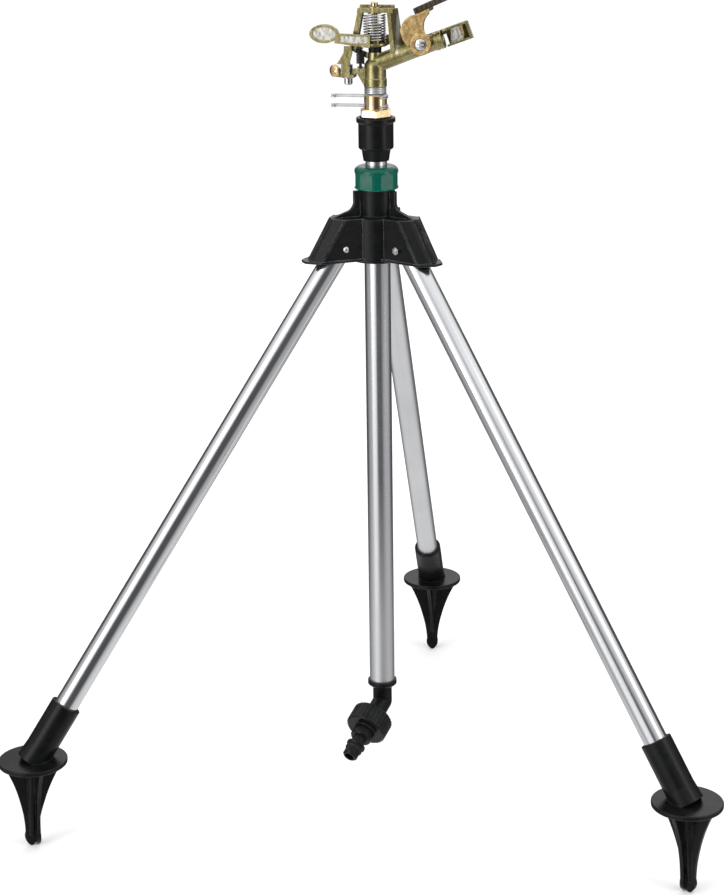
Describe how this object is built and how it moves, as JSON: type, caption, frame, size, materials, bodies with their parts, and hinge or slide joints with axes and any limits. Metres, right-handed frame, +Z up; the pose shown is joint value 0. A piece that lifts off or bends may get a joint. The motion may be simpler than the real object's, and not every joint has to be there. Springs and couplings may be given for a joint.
{
  "type": "garden impact sprinkler",
  "caption": "Impact sprinkler head with a spring-returned arm and adjustable deflector on a telescopic mast, held by a folding tripod with ground spikes and an angled hose inlet",
  "frame": {"origin": "on the tripod's vertical axis at the level of the three spike tips", "axes": "+Z up along the mast; +X to the side that the nozzle points to at rest; +Y away from the side with the hose inlet and the open front pair of legs"},
  "size_m": [0.6007, 0.5739, 0.7053],
  "materials": {
    "aluminium_leg": "polished drawn tube",
    "aluminium_mast": "brushed drawn tube",
    "black_plastic": "satin moulded",
    "green_plastic": "gloss moulded",
    "rubber": "matt seal",
    "brass": "turned",
    "chromated_zinc": "olive-yellow chromate on a casting",
    "bronze": "cast bronze",
    "dark_plate": "dark brown finish",
    "steel": "bright zinc plate",
    "black_steel": "blackened",
    "grey_plastic": "bearing plastic"
  },
  "bodies": {
    "tripod": {"tripod_hub": "black_plastic", "outer_tube": "aluminium_mast", "clamp_collet": "grey_plastic", "inlet_elbow": "black_plastic", "elbow_oring": "rubber", "connector_washer": "rubber", "hose_connector": "black_plastic", "connector_oring": "rubber", "leg_bolt_left": "steel", "leg_bolt_right": "steel", "leg_bolt_rear": "steel", "leg_nut_left": "steel", "leg_nut_right": "steel", "leg_nut_rear": "steel"},
    "clamp": {"clamp_nut": "green_plastic"},
    "leg_left": {"leg_tube_left": "aluminium_leg", "foot_left": "black_plastic"},
    "leg_right": {"leg_tube_right": "aluminium_leg", "foot_right": "black_plastic"},
    "leg_rear": {"leg_tube_rear": "aluminium_leg", "foot_rear": "black_plastic"},
    "mast": {"inner_tube": "aluminium_mast", "tube_piston": "black_plastic", "piston_oring": "rubber", "top_coupling": "black_plastic", "nipple_seal": "rubber", "bearing_nipple": "brass"},
    "collar_upper": {"trip_collar_upper": "steel"},
    "collar_lower": {"trip_collar_lower": "steel"},
    "head": {"bearing_tube": "brass", "bearing_washer_lower": "rubber", "bearing_washer_upper": "grey_plastic", "spring_washer": "grey_plastic", "bearing_spring": "steel", "sprinkler_body": "chromated_zinc", "range_nozzle": "brass", "fulcrum_pin": "brass", "arm_washer_lower": "black_plastic", "arm_washer_upper": "black_plastic", "deflector_screw": "steel", "trip_pin": "steel", "trip_pin_nut": "black_steel", "trip_spring_post": "black_steel", "trip_spring": "black_steel", "arm_spring": "steel"},
    "arm": {"impact_arm": "chromated_zinc", "arm_bushing": "brass"},
    "deflector": {"deflector_arm": "bronze", "deflector_plate": "dark_plate"},
    "trip": {"trip_lever": "chromated_zinc", "trip_screw": "brass", "trip_screw_nut": "steel"}
  },
  "joints": [
    {"name": "leg_fold_left", "type": "hinge", "parent": "tripod", "child": "leg_left", "pos_m": [-0.03027, -0.01126, 0.4978], "axis": [0.3486, -0.9373, 0], "range_deg": [0, 29]},
    {"name": "leg_fold_right", "type": "hinge", "parent": "tripod", "child": "leg_right", "pos_m": [0.02489, -0.02059, 0.4978], "axis": [0.6374, 0.7705, 0], "range_deg": [0, 29]},
    {"name": "leg_fold_rear", "type": "hinge", "parent": "tripod", "child": "leg_rear", "pos_m": [0.00539, 0.03185, 0.4978], "axis": [-0.986, 0.1668, 0], "range_deg": [0, 29]},
    {"name": "clamp_turn", "type": "hinge", "parent": "tripod", "child": "clamp", "pos_m": [0, 0, 0.55], "axis": [0, 0, 1], "range_deg": [0, 180]},
    {"name": "mast_slide", "type": "slide", "parent": "tripod", "child": "mast", "axis": [0, 0, 1], "range_m": [0, 0.33]},
    {"name": "head_spin", "type": "hinge", "parent": "mast", "child": "head", "pos_m": [0, 0, 0.62], "axis": [0, 0, 1], "continuous": true},
    {"name": "collar_upper_turn", "type": "hinge", "parent": "mast", "child": "collar_upper", "pos_m": [0, 0, 0.6198], "axis": [0, 0, 1], "continuous": true},
    {"name": "collar_lower_turn", "type": "hinge", "parent": "mast", "child": "collar_lower", "pos_m": [0, 0, 0.6128], "axis": [0, 0, 1], "continuous": true},
    {"name": "arm_swing", "type": "hinge", "parent": "head", "child": "arm", "pos_m": [0, 0, 0.67], "axis": [0, 0, 1], "range_deg": [0, 90], "stiffness_Nm_per_rad": 0.02, "springref_deg": -34.38},
    {"name": "deflector_tilt", "type": "hinge", "parent": "head", "child": "deflector", "pos_m": [0.03971, -0.00844, 0.6649], "axis": [-0.2079, -0.9781, 0], "range_deg": [-12, 20]},
    {"name": "trip_swing", "type": "hinge", "parent": "head", "child": "trip", "pos_m": [-0.02211, 0.0047, 0.64], "axis": [0, 0, 1], "range_deg": [-12, 12]}
  ]
}
